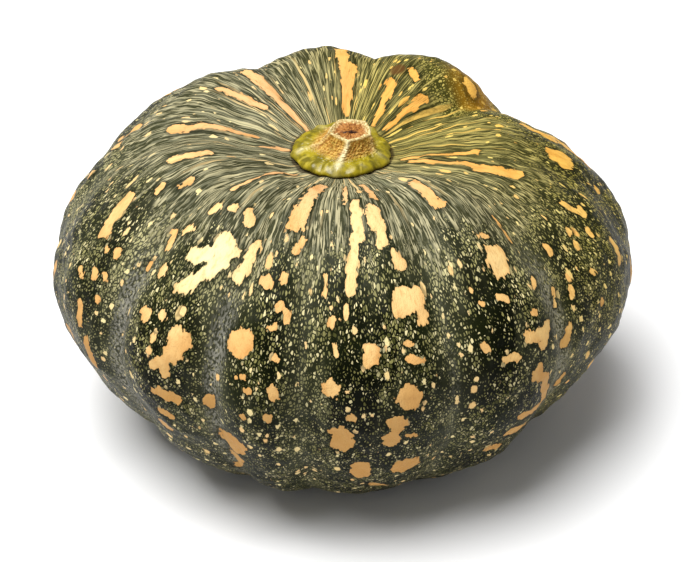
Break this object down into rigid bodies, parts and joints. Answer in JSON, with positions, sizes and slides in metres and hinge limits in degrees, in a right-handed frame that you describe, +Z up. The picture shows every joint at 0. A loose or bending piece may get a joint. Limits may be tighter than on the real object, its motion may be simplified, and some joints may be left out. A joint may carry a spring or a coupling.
{
  "type": "kabocha squash",
  "caption": "Whole ribbed winter squash, flattened and slightly lopsided, with a flared cut stem, lying on its blossom end.",
  "frame": {"origin": "middle of the squash's plan, on the surface it lies on", "axes": "+Z up, from the blossom end to the stem; +X along the widest way across, -Y towards the side with the narrow ribs"},
  "size_m": [0.2568, 0.24, 0.1489],
  "materials": {
    "rind": "waxy semi-gloss rind, dark green with pale speckles, streaks and cream-orange blotches, grey bloom in the grooves",
    "stem": "glossy olive-green foot with cream highlights, corky golden-brown neck, dry brown cut face"
  },
  "bodies": {
    "root": {"fruit": "rind", "stem": "stem"}
  },
  "joints": []
}
